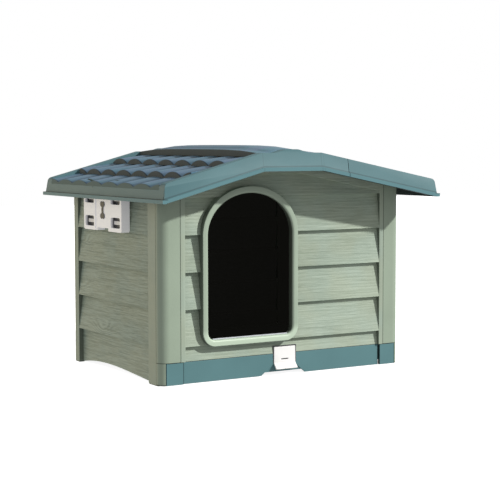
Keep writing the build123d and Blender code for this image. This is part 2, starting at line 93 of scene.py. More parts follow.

# Directions, and the faint glow painted on the faces inside the kennel, which stands in for its dim
# light
DOWN, UP = (0.0, 0.0, -1.0), (0.0, 0.0, 1.0)
LEFT, RIGHT = (-1.0, 0.0, 0.0), (1.0, 0.0, 0.0)
FORWARD, BACKWARD = (0.0, -1.0, 0.0), (0.0, 1.0, 0.0)
BLACK, WHITE = (0.0, 0.0, 0.0), (1.0, 1.0, 1.0)
# Painted glow: the emission colour of the faces inside the kennel
PAINTED_INSIDE_GLOW = (0.0036, 0.0036, 0.0030)

# Stage
FLOOR_SIZE, FLOOR_DROP, FLOOR_GLOW = 24.0, 0.0005, 0.9
WORLD_LEVEL = 0.48                  # light from the surroundings; the camera sees them white
WARM_PLACE, WARM_AIM = (-3.2, 4.6, 0.6), (0.0, 0.0, 0.4)
WARM_SIZE, WARM_POWER, WARM_COLOUR = 5.0, 128.0, (1.0, 0.84, 0.48)
SUN_TRAVEL, SUN_POWER, SUN_COLOUR = (-0.96, 1.0, -0.85), 3.3, (1.0, 0.99, 0.96)
CAMERA_PLACE, CAMERA_LENS, SENSOR = (-2.603, -4.355, 0.799), 101.6, 36.0
CAMERA_HEADING, CAMERA_DIP, CAMERA_ROLL = -31.391, 4.408, -0.0765   # degrees


# ---------------------------------------------------------------- sizes and colours

def colour_setting(name, description, default):
    """A colour property with the usual range."""
    return FloatVectorProperty(name=name, description=description, default=default,
                               subtype="COLOR", size=3, min=0.0, max=1.0)


def length_setting(name, description, default):
    """A length property, in metres."""
    return FloatProperty(name=name, description=description, default=default,
                         subtype="DISTANCE", unit="LENGTH", min=0.0)


class KennelSizes(bpy.types.PropertyGroup):
    """Roundings of the mouldings."""
    board_rounding: length_setting("Board rounding", "Radius on the boards' lower edges", 0.0012)
    column_rounding: length_setting("Column rounding", "Radius on the columns' ends", 0.0022)
    trim_rounding: length_setting("Trim rounding", "Radius on the foot trim", 0.002)
    plate_rounding: length_setting("Plate rounding", "Radius on the white plates", 0.0022)
    roof_rounding: length_setting("Roof rounding", "Radius on the roof shells", 0.0025)
    tile_rounding: length_setting("Tile rounding", "Radius on the noses of the tiles", 0.003)


class KennelColours(bpy.types.PropertyGroup):
    """Colours of the resins, some of them painted light and shade."""
    boards: colour_setting("Boards", "Sage green of the walls", (0.340, 0.418, 0.322))
    frame: colour_setting("Door frame", "Lighter sage of the door surround", (0.345, 0.42, 0.33))
    roof: colour_setting("Roof", "Blue-green of the roof shells", (0.080, 0.178, 0.198))
    # eaves is painted light: the tone that the warm light gives the roof's faces that look along X
    eaves: colour_setting("Eaves", "Greyer fascias along the eaves", (0.1135, 0.199, 0.206))
    tiles: colour_setting("Tiles", "Steel blue of the tiles", (0.075, 0.152, 0.226))
    cap: colour_setting("Ridge cap", "Paler blue of the ridge cap", (0.108, 0.205, 0.283))
    # noses and eave_noses are painted light and shade: the warm, shaded tone that the faces looking
    # along X take, also used on the ridge cap's flanks
    noses: colour_setting("Tile noses", "Slate of the tiles' lower ends", (0.120, 0.130, 0.118))
    eave_noses: colour_setting("Eave tile noses", "Lower ends over the eaves",
                               (0.154, 0.200, 0.175))
    trim: colour_setting("Trim", "Blue-green of the foot trim", (0.105, 0.215, 0.23))
    white: colour_setting("White", "White of the plates and the latch", (0.90, 0.89, 0.88))
    emblem: colour_setting("Emblem", "Dark grey of the relief", (0.035, 0.035, 0.04))
    bead: colour_setting("Sill bead", "Pale bead along the sill", (0.50, 0.53, 0.56))
    # floor and inside are painted shade: the near black of the kennel's dim inside, on the tray and
    # on the inner faces
    floor: colour_setting("Floor", "Dark green of the base tray", (0.010, 0.011, 0.009))
    inside: colour_setting("Inside", "Dark inner faces of the walls", (0.006, 0.006, 0.005))


# ---------------------------------------------------------------- shader maths

class Wire:
    """An output of a finish's node. Arithmetic on wires adds Math nodes."""

    def __init__(self, finish, socket):
        self.finish = finish
        self.socket = socket

    def maths(self, operation, *values):
        return self.finish.add("ShaderNodeMath", {"operation": operation}, dict(enumerate(values)))

    def __add__(self, other):
        return self.maths("ADD", self, other)

    def __radd__(self, other):
        return self.maths("ADD", other, self)

    def __sub__(self, other):
        return self.maths("SUBTRACT", self, other)

    def __rsub__(self, other):
        return self.maths("SUBTRACT", other, self)

    def __mul__(self, other):
        return self.maths("MULTIPLY", self, other)

    def __rmul__(self, other):
        return self.maths("MULTIPLY", other, self)

    def __abs__(self):
        return self.maths("ABSOLUTE", self)

    def step(self, low, high):
        """0 below low and 1 above high, smooth between."""
        return self.finish.add("ShaderNodeMapRange", {"interpolation_type": "SMOOTHSTEP"},
                               {"Value": self, "From Min": low, "From Max": high})


class Finish:
    """A procedural material on Object coordinates."""

    def __init__(self, name):
        self.material = bpy.data.materials.new(name)
        self.material.use_nodes = True
        self.tree = self.material.node_tree
        self.shader = self.tree.nodes["Principled BSDF"]
        place = self.tree.nodes.new("ShaderNodeTexCoord")
        self.place = Wire(self, place.outputs["Object"])
        split = self.tree.nodes.new("ShaderNodeSeparateXYZ")
        self.tree.links.new(place.outputs["Object"], split.inputs[0])
        self.x, self.y, self.z = (Wire(self, out) for out in split.outputs)

    def feed(self, socket, value):
        """Links a wire to a socket, or sets the socket's value."""
        if isinstance(value, Wire):
            self.tree.links.new(value.socket, socket)
        else:
            socket.default_value = value

    def add(self, kind, settings=None, values=None, output=0):
        """Adds any node: its settings first, then the values or links of its sockets."""
        node = self.tree.nodes.new(kind)
        for key, value in (settings or {}).items():
            setattr(node, key, value)
        for key, value in (values or {}).items():
            self.feed(node.inputs[key], value)
        return Wire(self, node.outputs[output])

    def noise(self, place, scale, detail=3.0, rough=0.5):
        return self.add("ShaderNodeTexNoise", {},
                        {"Vector": place, "Scale": scale, "Detail": detail, "Roughness": rough})

    def stretched(self, x, y, z):
        """Object coordinates scaled along each axis."""
        return self.add("ShaderNodeMapping", {}, {"Vector": self.place, "Scale": (x, y, z)})

    def mix(self, factor, first, second):
        """Colour mix of two colours or wires."""
        return self.add("ShaderNodeMix", {"data_type": "RGBA"},
                        {0: factor, 6: rgba(first), 7: rgba(second)}, output=2)

    def edge(self, radius):
        """About 0 on flat faces and towards 1 on edges sharper than radius."""
        rounded = self.add("ShaderNodeBevel", {"samples": 4}, {"Radius": radius})
        plain = self.add("ShaderNodeNewGeometry", {}, {}, output="Normal")
        along = self.add("ShaderNodeVectorMath", {"operation": "DOT_PRODUCT"},
                         {0: rounded, 1: plain}, output="Value")
        return (1.0 - along).step(0.02, 0.30)

    def facing(self, direction):
        """How far the face points along a direction, from -1 to 1."""
        plain = self.add("ShaderNodeNewGeometry", {}, {}, output="True Normal")
        return self.add("ShaderNodeVectorMath", {"operation": "DOT_PRODUCT"},
                        {0: plain, 1: direction}, output="Value")

    def bump(self, height, distance, strength=1.0):
        return self.add("ShaderNodeBump", {},
                        {"Height": height, "Distance": distance, "Strength": strength})

    def finish(self, colour, roughness, normal=None, shaded=None, **fixed):
        """Feeds the shader. Where shaded is 1 a faint painted glow stands in for the dim light
        inside the kennel.
        """
        self.feed(self.shader.inputs["Base Color"], rgba(colour))
        if shaded is not None:
            self.feed(self.shader.inputs["Emission Color"], self.mix(shaded, BLACK, PAINTED_INSIDE_GLOW))
            self.shader.inputs["Emission Strength"].default_value = 1.0
        self.feed(self.shader.inputs["Roughness"], roughness)
        if normal is not None:
            self.feed(self.shader.inputs["Normal"], normal)
        for key, value in fixed.items():
            self.shader.inputs[key.replace("_", " ")].default_value = value
        return self.material


def rgba(colour):
    """A colour with alpha for a socket; a wire is left as it is."""
    return colour if isinstance(colour, Wire) else (*colour[:3], 1.0)


def tinted(colour, factor):
    return tuple(min(1.0, c * factor) for c in colour[:3])


def seam_mask(f, seams):
    """1 on thin lines across the piece, given as (axis, place, half width)."""
    mask = 0.0
    for axis, place, half in seams:
        line = 1.0 - abs(getattr(f, axis) - place).step(half * 0.5, half * 1.5)
        mask = line if mask == 0.0 else mask.maths("MAXIMUM", mask, line)
    return mask


def inner_mask(f, inward):
    """1 on faces that point along one of the inward directions."""
    mask = 0.0
    for direction in inward:
        facing = f.facing(direction).step(0.45, 0.55)
        mask = facing if mask == 0.0 else mask.maths("MAXIMUM", mask, facing)
    return mask


def board_finish(name, colour, inside, along, inward, ends, seams, figured):
    """Sage resin boards with a moulded wood grain that runs along X or Y.

    figured is how much the grain swirls round knots and how dark its cracks are.
    """
    f = Finish(name)
    length = f.x if along == "X" else f.y

    def grained(lengthwise, across):
        scale = (lengthwise, across, across) if along == "X" else (across, lengthwise, across)
        return f.stretched(*scale)

    wander = f.noise(grained(2.2, 11.0), 1.0, 3.0, 0.55)
    knots = f.add("ShaderNodeTexVoronoi", {"feature": "F1"},
                  {"Vector": grained(3.1, 7.4), "Scale": 1.0, "Randomness": 1.0})
    near = knots * knots * -20.0
    swirl = near.maths("EXPONENT", near) * figured
    rings = f.z * 560.0 + wander * (10.0 + 18.0 * figured) + swirl * 22.0
    lines = rings.maths("SINE", rings) * 0.5 + 0.5
    streaks = f.noise(grained(9.0, 230.0), 1.0, 4.0, 0.62)
    threads = f.noise(grained(34.0, 620.0), 1.0, 3.0, 0.6)
    cracks = f.noise(grained(6.0, 250.0), 1.0, 2.0, 0.5).step(0.59, 0.68)
    cloud = f.noise(f.place, 6.0, 2.0, 0.5)
    half_run = (ends[1] - ends[0]) / 2
    grain = 1.0 - abs(length - (ends[0] + ends[1]) / 2).step(half_run - 0.0005, half_run + 0.0005)
    figure = ((lines - 0.5) * (0.16 + swirl * 0.7) + (streaks - 0.5) * (1.3 + 0.9 * figured)
              + (threads - 0.5) * (0.8 + 0.4 * figured))
    tone = figure * grain * 0.8 + (cloud - 0.5) * 0.35 + 0.5
    tone = tone - cracks * grain * (0.10 + 0.32 * figured)
    cool = (colour[0] * 0.975, colour[1] * 1.0, colour[2] * 1.02)
    warm = (colour[0] * 1.02, colour[1] * 1.0, colour[2] * 0.97)
    drift = f.mix(f.noise(f.place, 9.0, 2.0, 0.5).step(0.35, 0.65), cool, warm)
    dark = f.mix(0.80 - 0.12 * figured, BLACK, drift)
    shade = f.mix(tone.step(0.1, 0.9), dark, f.mix(0.08, drift, WHITE))
    shade = f.mix(f.edge(0.003) * 0.25, shade, tinted(colour, 1.45))
    # Painted shade: the faces at the ends of the boards are darkened as the shade and shadow in the
    # wedges beside the strips
    painted_end_shade = abs(f.facing(RIGHT if along == "X" else BACKWARD)).step(0.7, 0.9)
    shade = f.mix(painted_end_shade * 0.8, shade, tinted(colour, 0.2))
    # Painted shade in the joints along the seams
    shade = f.mix(seam_mask(f, seams) * 0.8, shade, tinted(colour, 0.18))
    # Painted shade, with a faint painted glow, on the faces that point into the kennel
    painted_inside_shade = inner_mask(f, inward)
    shade = f.mix(painted_inside_shade, shade, inside)
    height = (figure * 0.8 - cracks * (0.2 + 0.5 * figured)) * grain + threads * 0.1
    rough = 0.47 + streaks * 0.14 + cloud * 0.06
    return f.finish(shade, rough, f.bump(height, 0.0010, 0.7), shaded=painted_inside_shade, IOR=1.48)


def resin_finish(name, colour, roughness=0.42, grain=0.00012, spread=0.08, wear=0.35, IOR=1.46,
                 seams=(), inward=(), inside=(0.01, 0.01, 0.01), paler=None, darker=None,
                 specular=0.5, aside=None):
    """Smooth moulded resin with a fine orange peel, soft colour drift and pale worn edges.

    paler and darker are functions that give a mask, 1 where the resin is painted lighter or darker:
    painted light and shade, and on the roof also a mark. aside is the painted light of the faces
    that look along X: the colour that the warm light gives them.
    """
    f = Finish(name)
    drift = f.noise(f.place, 4.5, 3.0, 0.55)
    speck = f.noise(f.place, 420.0, 2.0, 0.6)
    peel = f.noise(f.place, 900.0, 2.0, 0.5)
    scuffs = f.noise(f.stretched(18.0, 18.0, 70.0), 1.0, 4.0, 0.65)
    tone = drift * 0.7 + speck * 0.3
    shade = f.mix(tone.step(0.25, 0.75), tinted(colour, 1.0 - spread), tinted(colour, 1.0 + spread))
    # Painted light: the faces that look along X take the colour of the warm light on them
    if aside:
        shade = f.mix(abs(f.facing(RIGHT)).step(0.6, 0.85), shade, aside)
    shade = f.mix(f.edge(0.003) * wear, shade, tinted(colour, 1.5))
    # Painted light and painted shade, from the paler and darker masks
    if paler:
        shade = f.mix(paler(f), shade, tinted(colour, 1.45))
    if darker:
        shade = f.mix(darker(f), shade, tinted(colour, 0.3))
    # Painted shade in the joints along the seams
    if seams:
        shade = f.mix(seam_mask(f, seams) * 0.8, shade, tinted(colour, 0.18))
    painted_inside_shade = None
    # Painted shade, with a faint painted glow, on the faces that point into the kennel
    if inward:
        painted_inside_shade = inner_mask(f, inward)
        shade = f.mix(painted_inside_shade, shade, inside)
    rough = roughness - 0.05 + scuffs * 0.10 + speck * 0.04
    return f.finish(shade, rough, f.bump(peel + scuffs * 0.5, grain, 0.6), shaded=painted_inside_shade, IOR=IOR,
                    Specular_IOR_Level=specular)


def band_mask(f, value, middle, half):
    """1 where the value is within half of the middle."""
    return 1.0 - abs(value - middle).step(half * 0.7, half * 1.3)


def roof_lip(f):
    """The flange round the foot of the roof, which catches the light."""
    gables = abs(f.y).step(ROOF_HIGH.y - GABLE_LIP - 0.0004, ROOF_HIGH.y - GABLE_LIP + 0.0010)
    eaves = abs(f.x).step(ROOF_HIGH.x - EAVE_LIP - 0.0004, ROOF_HIGH.x - EAVE_LIP + 0.0010)
    return gables.maths("MAXIMUM", gables, eaves) * 0.55


def roof_lines(f):
    """Painted shade in the groove over the flange and the creases beside the ridge, and the mark on
    the left eave.
    """
    outer = abs(f.x).step(ROOF_HIGH.x - 0.020, ROOF_HIGH.x - 0.018)
    groove = band_mask(f, f.z, ROOF_LOW.z + LIP_HEIGHT + 0.0006, 0.0013) * outer * 0.75
    gable_groove = band_mask(f, abs(f.y), ROOF_HIGH.y - GABLE_LIP - 0.0005, 0.0004) * 0.45
    creases = band_mask(f, f.x, RIDGE_LEFT, 0.0016) + band_mask(f, f.x, RIDGE_RIGHT - 0.003, 0.0016)
    creases = (creases + band_mask(f, f.x, RIDGE_RIGHT + 0.007, 0.0010)) * 0.22
    mark = band_mask(f, f.y, MARK_Y, 0.003) * band_mask(f, f.z, MARK_Z, 0.006) * outer * 0.6
    return groove.maths("MAXIMUM", groove.maths("MAXIMUM", groove, gable_groove),
                        creases.maths("MAXIMUM", creases, mark))


def glaze(f, colour):
    """The streaky blue of the tiles. Returns its shade, the streaks and the specks."""
    streaks = f.noise(f.stretched(3.0, 34.0, 3.0), 1.0, 4.0, 0.6)
    drift = f.noise(f.stretched(7.0, 11.0, 7.0), 1.0, 2.0, 0.5)
    speck = f.noise(f.place, 420.0, 2.0, 0.6)
    teal = (colour[0] * 0.82, colour[1] * 1.02, colour[2] * 0.93)
    slate = (colour[0] * 1.22, colour[1] * 1.0, colour[2] * 1.06)
    shade = f.mix((streaks * 0.6 + drift * 0.4).step(0.36, 0.64), teal, slate)
    shade = f.mix(speck.step(0.2, 0.9) * 0.10, shade, (0.5, 0.55, 0.6))
    return shade, streaks, speck


def glazed(f, shade, streaks, speck, matt):
    """Feeds the shader of a tile, which has no gloss where matt is 1."""
    rough = streaks * 0.10 + speck * 0.04 + matt * 0.45 + 0.33
    return f.finish(shade, rough, f.bump(streaks + speck * 0.3, 0.0003, 0.6), IOR=1.46,
                    Specular_IOR_Level=0.25)


def tile_finish(name, colour, nose_colour, lower_x, rim, shift):
    """Blue tiles with painted shade in their valleys and along the rims of their noses, a painted
    highlight on their crests, and noses in a painted tone of warm shade.

    lower_x is where the course ends, rim how dark its rim is, and shift how far along its
    barrels start, in barrels.
    """
    f = Finish(name)
    shade, streaks, speck = glaze(f, colour)
    turn = (f.y + TILE_FIELD) * (2 * math.pi / TILE_PITCH) + 2 * math.pi * shift
    wave = turn.maths("COSINE", turn)
    # Painted shade in the valleys, and a painted highlight on the crests
    shade = f.mix(wave.step(0.1, 1.0) * 0.75, shade, tinted(colour, 0.42))
    shade = f.mix((0.0 - wave).step(0.3, 1.0) * 0.35, shade, tinted(colour, 1.7))
    # Painted light and shade: the noses take the warm, shaded tone that these faces have in the
    # light
    nose = abs(f.facing(RIGHT)).step(0.85, 0.97)
    shade = f.mix(nose, shade, nose_colour)
    # Painted shade along the rims of the noses
    line = 1.0 - abs(f.x - lower_x).step(0.0035, 0.0065)
    shade = f.mix(line * (1.0 - nose) * rim, shade, tinted(colour, 0.10))
    return glazed(f, shade, streaks, speck, nose)


def cap_finish(name, colour, flank_colour, shade_below):
    """The ridge cap, whose flanks are in shade below a height."""
    f = Finish(name)
    shade, streaks, speck = glaze(f, colour)
    flank = abs(f.facing(RIGHT)).step(0.5, 0.8)
    low = 1.0 - f.z.step(shade_below - 0.002, shade_below + 0.002)
    shade = f.mix(flank, shade, f.mix(low * 0.85, flank_colour, BLACK))
    return glazed(f, shade, streaks, speck, flank)


def plate_finish(name, colour):
    """White plastic with a faint painted glow, and painted shade deep in its pockets."""
    f = Finish(name)
    low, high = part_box("plate_right")
    middle = (low + high) / 2
    face = high.x

    def outside(value, spread, length):
        """0 inside the two pockets' spans along an axis, and 1 outside them."""
        return abs(abs(value) - spread / 2).step(length / 2, length / 2 + 0.001)

    along = outside(f.y - middle.y, POCKET_SPREAD_Y, POCKET_LENGTH)
    across = outside(f.z - middle.z, POCKET_SPREAD_Z, POCKET_HEIGHT)
    deep = (face - abs(f.x)).step(0.003, 0.012)
    pocket = deep * (1.0 - along) * (1.0 - across)
    speck = f.noise(f.place, 420.0, 2.0, 0.6)
    dust = f.noise(f.stretched(9.0, 9.0, 30.0), 1.0, 4.0, 0.6)
    shade = f.mix(dust.step(0.2, 0.9), colour, tinted(colour, 0.94))
    # Painted shade deep in the pockets
    shade = f.mix(pocket * 0.9, shade, (0.045, 0.045, 0.05))
    shade = f.mix(f.edge(0.003) * 0.3, shade, tinted(colour, 1.1))
    rough = 0.34 + dust * 0.12
    # Painted glow: the plates emit a faint white light outside their pockets
    f.feed(f.shader.inputs["Emission Color"], f.mix(pocket, (0.95, 0.93, 1.0), BLACK))
    return f.finish(shade, rough, f.bump(speck + dust, 0.0001, 0.5), IOR=1.5,
                    Emission_Strength=0.13)


# ---------------------------------------------------------------- modelling helpers

def alone(piece=None):
    """Deselects everything, then selects only this piece."""
    if bpy.context.object and bpy.context.object.mode != "OBJECT":
        bpy.ops.object.mode_set(mode="OBJECT")
    bpy.ops.object.select_all(action="DESELECT")
    if piece is not None:
        piece.select_set(True)
        bpy.context.view_layer.objects.active = piece


def apply_modifier(piece, kind, **settings):
    """Adds a modifier to the piece and applies it."""
    alone(piece)
    modifier = piece.modifiers.new(kind.lower(), kind)
    for key, value in settings.items():
        setattr(modifier, key, value)
    bpy.ops.object.modifier_apply(modifier=modifier.name)


def round_edges(piece, radius, segments=3, angle=35.0):
    """Rounds the edges that turn more than the angle, and shades the piece smooth."""
    alone(piece)
    bpy.ops.object.shade_smooth_by_angle(angle=math.radians(angle))
    apply_modifier(piece, "BEVEL", width=radius, segments=segments, limit_method="ANGLE",
                   angle_limit=math.radians(angle), harden_normals=True, use_clamp_overlap=True)


def merged_copy(node, name):
    """A copy of a frame node as clean faces."""
    piece = bpy.data.objects.new(name, frame["nodes"][node].data.copy())
    bpy.context.collection.objects.link(piece)
    piece.data.materials.clear()
    alone(piece)
    bpy.ops.object.mode_set(mode="EDIT")
    bpy.ops.mesh.select_mode(type="VERT")
    bpy.ops.mesh.select_all(action="SELECT")
    bpy.ops.mesh.remove_doubles(threshold=0.00002)
    bpy.ops.mesh.dissolve_limited(angle_limit=math.radians(0.6))
    bpy.ops.object.mode_set(mode="OBJECT")
    return piece


def dress(piece, slot, material, *nodes):
    """Gives a finished piece its material, its body and the nodes that it stands for."""
    piece.data.materials.clear()
    piece.data.materials.append(material)
    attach(piece, BODY)
    if nodes:
        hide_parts(*nodes)
    return piece


def moulded(node, slot, material, radius, segments=3, angle=35.0):
    """A frame node with rounded edges."""
    piece = merged_copy(node, "moulded_" + node)
    round_edges(piece, radius, segments, angle)
    return dress(piece, slot, material, node)


def repaint(node, material):
    """Puts a material on a frame node that stays as it is."""
    slots = frame["nodes"][node].material_slots
    if len(slots) == 0:
        frame["nodes"][node].data.materials.append(material)
    for slot in slots:
        slot.material = material


# ---------------------------------------------------------------- operators

class KENNEL_OT_stage(bpy.types.Operator):
    """Makes the pale floor, the backdrop, the lights and the camera"""
    bl_idname = "kennel.stage"
    bl_label = "Stage"

    def execute(self, context):
        pale = Finish("stage_pale")
        veil = pale.noise(pale.place, 0.7, 2.0, 0.5)
        paper = pale.finish(pale.mix(veil, (0.86, 0.86, 0.86), (0.89, 0.89, 0.89)), 0.9,
                            Emission_Color=rgba(WHITE), Emission_Strength=FLOOR_GLOW)
        alone()
        bpy.ops.mesh.primitive_plane_add(size=FLOOR_SIZE, location=(0.0, 0.0, -FLOOR_DROP))
        floor = context.object
        floor.name = "stage_floor"
        floor.data.materials.append(paper)
        alone(floor)
        bpy.ops.object.transform_apply(location=True, rotation=True, scale=True)
        floor.visible_diffuse = False
        floor.visible_glossy = False
        floor.visible_shadow = False

        world = bpy.data.worlds.new("studio")
        context.scene.world = world
        world.use_nodes = True
        backing = world.node_tree.nodes["Background"]
        backing.inputs["Color"].default_value = rgba(WHITE)
        seen = world.node_tree.nodes.new("ShaderNodeLightPath").outputs["Is Camera Ray"]
        level = world.node_tree.nodes.new("ShaderNodeMapRange")
        level.inputs["To Min"].default_value = WORLD_LEVEL
        level.inputs["To Max"].default_value = 1.0
        world.node_tree.links.new(seen, level.inputs["Value"])
        world.node_tree.links.new(level.outputs[0], backing.inputs["Strength"])

        warm = bpy.data.lights.new("warm", "AREA")
        warm.color = WARM_COLOUR
        warm.size = WARM_SIZE
        warm.energy = WARM_POWER
        glow = bpy.data.objects.new("warm", warm)
        context.collection.objects.link(glow)
        glow.location = WARM_PLACE
        towards = Vector(WARM_AIM) - glow.location
        glow.rotation_euler = towards.to_track_quat("-Z", "Y").to_euler()
        glow.visible_diffuse = False

        key = bpy.data.lights.new("key", "SUN")
        key.energy = SUN_POWER
        key.angle = math.radians(2.0)
        key.color = SUN_COLOUR
        lamp = bpy.data.objects.new("key", key)
        context.collection.objects.link(lamp)
        travel = Vector(SUN_TRAVEL).normalized()
        lamp.rotation_euler = travel.to_track_quat("-Z", "Y").to_euler()

        lens = bpy.data.cameras.new("camera")
        lens.lens = CAMERA_LENS
        lens.sensor_width = SENSOR
        lens.clip_end = 100.0
        camera = bpy.data.objects.new("camera", lens)
        context.collection.objects.link(camera)
        turn = (Matrix.Rotation(math.radians(CAMERA_HEADING), 4, "Z")
                @ Matrix.Rotation(math.radians(90.0 - CAMERA_DIP), 4, "X")
                @ Matrix.Rotation(math.radians(CAMERA_ROLL), 4, "Z"))
        camera.matrix_world = Matrix.Translation(CAMERA_PLACE) @ turn
        context.scene.camera = camera
        context.scene.view_settings.view_transform = "Standard"
        return {"FINISHED"}


class KENNEL_OT_walls(bpy.types.Operator):
    """Rounds the board walls and gives them their wood grain"""
    bl_idname = "kennel.walls"
    bl_label = "Board walls"

    def execute(self, context):
        sizes, colours = context.scene.kennel_sizes, context.scene.kennel_colours
        end = FRONT_SEAM_X - END_STRIP
        end_run, end_seams = (-end, end), (("x", -FRONT_SEAM_X, SEAM), ("x", FRONT_SEAM_X, SEAM))
        side_run = (SIDE_SEAM_FRONT + SIDE_STRIP_FRONT, SIDE_SEAM_BACK - SIDE_STRIP_BACK)
        side_seams = (("y", SIDE_SEAM_FRONT, SEAM), ("y", SIDE_SEAM_BACK, SEAM))
        for node, along, inward, run, seams, figured in (
                ("front_wall", "X", BACKWARD, end_run, end_seams, 0.15),
                ("back_wall", "X", FORWARD, end_run, end_seams, 0.15),
                ("left_wall", "Y", RIGHT, side_run, side_seams, 1.0),
                ("right_wall", "Y", LEFT, side_run, side_seams, 1.0)):
            # Faces that point into the kennel, and faces that point up, get painted shade with a
            # faint painted glow
            grain = board_finish("boards_" + node, colours.boards, colours.inside, along,
                                 (inward, UP), run, seams, figured)
            moulded(node, "wall", grain, sizes.board_rounding)
        return {"FINISHED"}


class KENNEL_OT_columns(bpy.types.Operator):
    """Rounds the corner columns and feet, and paints the pads"""
    bl_idname = "kennel.columns"
    bl_label = "Corner columns"

    def execute(self, context):
        sizes, colours = context.scene.kennel_sizes, context.scene.kennel_colours
        seams = tuple((axis, place, SEAM) for axis, place in (
            ("x", -FRONT_SEAM_X), ("x", FRONT_SEAM_X), ("y", SIDE_SEAM_FRONT),
            ("y", SIDE_SEAM_BACK), ("z", COLUMN_FOOT)))
        rubber = resin_finish("pad_rubber", (0.02, 0.02, 0.02), 0.7, 0.0002, 0.2, 0.1)
        # depth tints the columns darker than the boards, the back ones most: painted shade. Faces
        # that point into the kennel get painted shade, and the seams are painted shade in the
        # joints
        for end, end_in, depth in (("front", BACKWARD, 0.88), ("back", FORWARD, 0.76)):
            for side, side_in in (("left", RIGHT), ("right", LEFT)):
                corner = "_" + end + "_" + side
                sage = resin_finish("column_resin" + corner, tinted(colours.boards, depth), 0.46,
                                    0.00018, seams=seams,
                                    inward=(side_in, end_in),
                                    inside=colours.inside)
                rounding = sizes.column_rounding if end == "front" else BACK_ROUNDING
                moulded("column" + corner, "wall", sage, rounding)
                worn = resin_finish("foot_resin" + corner, tinted(colours.boards, depth), 0.46,
                                    0.00018, seams=seams + (("z", FOOT_LINE, FOOT_LINE),))
                moulded("foot" + corner, "wall", worn, sizes.column_rounding)
                repaint("pad" + corner, rubber)
        return {"FINISHED"}


class KENNEL_OT_doorway(bpy.types.Operator):
    """Rounds the surround of the doorway"""
    bl_idname = "kennel.doorway"
    bl_label = "Doorway"

    def execute(self, context):
        colours = context.scene.kennel_colours

        def sides(f):
            """The surround's outer and inner sides, which lie in its own shade."""
            along = abs(f.facing(BACKWARD))
            return (1.0 - along.step(0.15, 0.55)) * (1.0 - f.facing(UP).step(0.5, 0.8))

        frame_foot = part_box("door_frame")[0].z

        def foot(f):
            """The length below the sill, which stands clear of the roof's shade."""
            return 1.0 - f.z.step(frame_foot + SILL_LIT_LOW, frame_foot + SILL_LIT_HIGH)

        # Painted shade on the surround's sides, and painted light on its length below the sill
        sage = resin_finish("frame_resin", colours.frame, 0.42, paler=foot, darker=sides)
        moulded("door_frame", "frame", sage, 0.0012, 2, 50.0)
        self.sill(colours)
        return {"FINISHED"}

    def sill(self, colours):
        """Lays the pale bead along the sill, inside the surround."""
        low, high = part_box("door_frame")
        middle, half = (low.x + high.x) / 2, (high.x - low.x) / 2 - SILL_INSET
        alone()
        bpy.ops.mesh.primitive_cylinder_add(
            vertices=16, radius=SILL_BEAD, depth=2 * half, rotation=(0.0, math.pi / 2, 0.0),
            location=(middle, FRONT_FACE - SILL_PROUD, low.z + SILL_RISE))
        bead = bpy.context.object
        bead.name = "sill_bead"
        bpy.ops.object.transform_apply(location=True, rotation=True, scale=True)
        alone(bead)
        bpy.ops.object.mode_set(mode="EDIT")
        bpy.ops.mesh.select_all(action="SELECT")
        bpy.ops.transform.resize(value=(1.0, 1.5, 1.0))
        bpy.ops.object.mode_set(mode="OBJECT")
        round_edges(bead, 0.0008, 2, 50.0)
        dress(bead, "frame", resin_finish("sill_resin", colours.bead, 0.35))


class KENNEL_OT_trim(bpy.types.Operator):
    """Rounds the lengths of trim along the foot"""
    bl_idname = "kennel.trim"
    bl_label = "Foot trim"

    def execute(self, context):
        sizes, colours = context.scene.kennel_sizes, context.scene.kennel_colours

        def ledges(f):
            """The upper faces, and the end that looks into the joint, both in shade."""
            ledge = f.facing(UP).step(0.6, 0.9)
            return ledge.maths("MAXIMUM", ledge, f.facing(LEFT).step(0.6, 0.9)) * 0.8

        for node in ("trim_left", "trim_middle", "trim_right", "trim_back"):
            low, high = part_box(node)
            # The lines are painted shade in the joints along each length's top and ends, and the
            # ledges painted shade; on the back length the upper face gets painted shade too
            lines = (("z", high.z, 0.0014), ("x", low.x, 0.0016), ("x", high.x, 0.0016))
            inward, specular, rounding = (), 0.2, sizes.trim_rounding
            if node == "trim_back":
                inward, specular, rounding = (UP,), 0.0, BACK_ROUNDING
            teal = resin_finish(node + "_resin", colours.trim, 0.45, seams=lines, darker=ledges,
                                inward=inward, inside=colours.inside, specular=specular)
            moulded(node, "trim", teal, rounding)
        return {"FINISHED"}


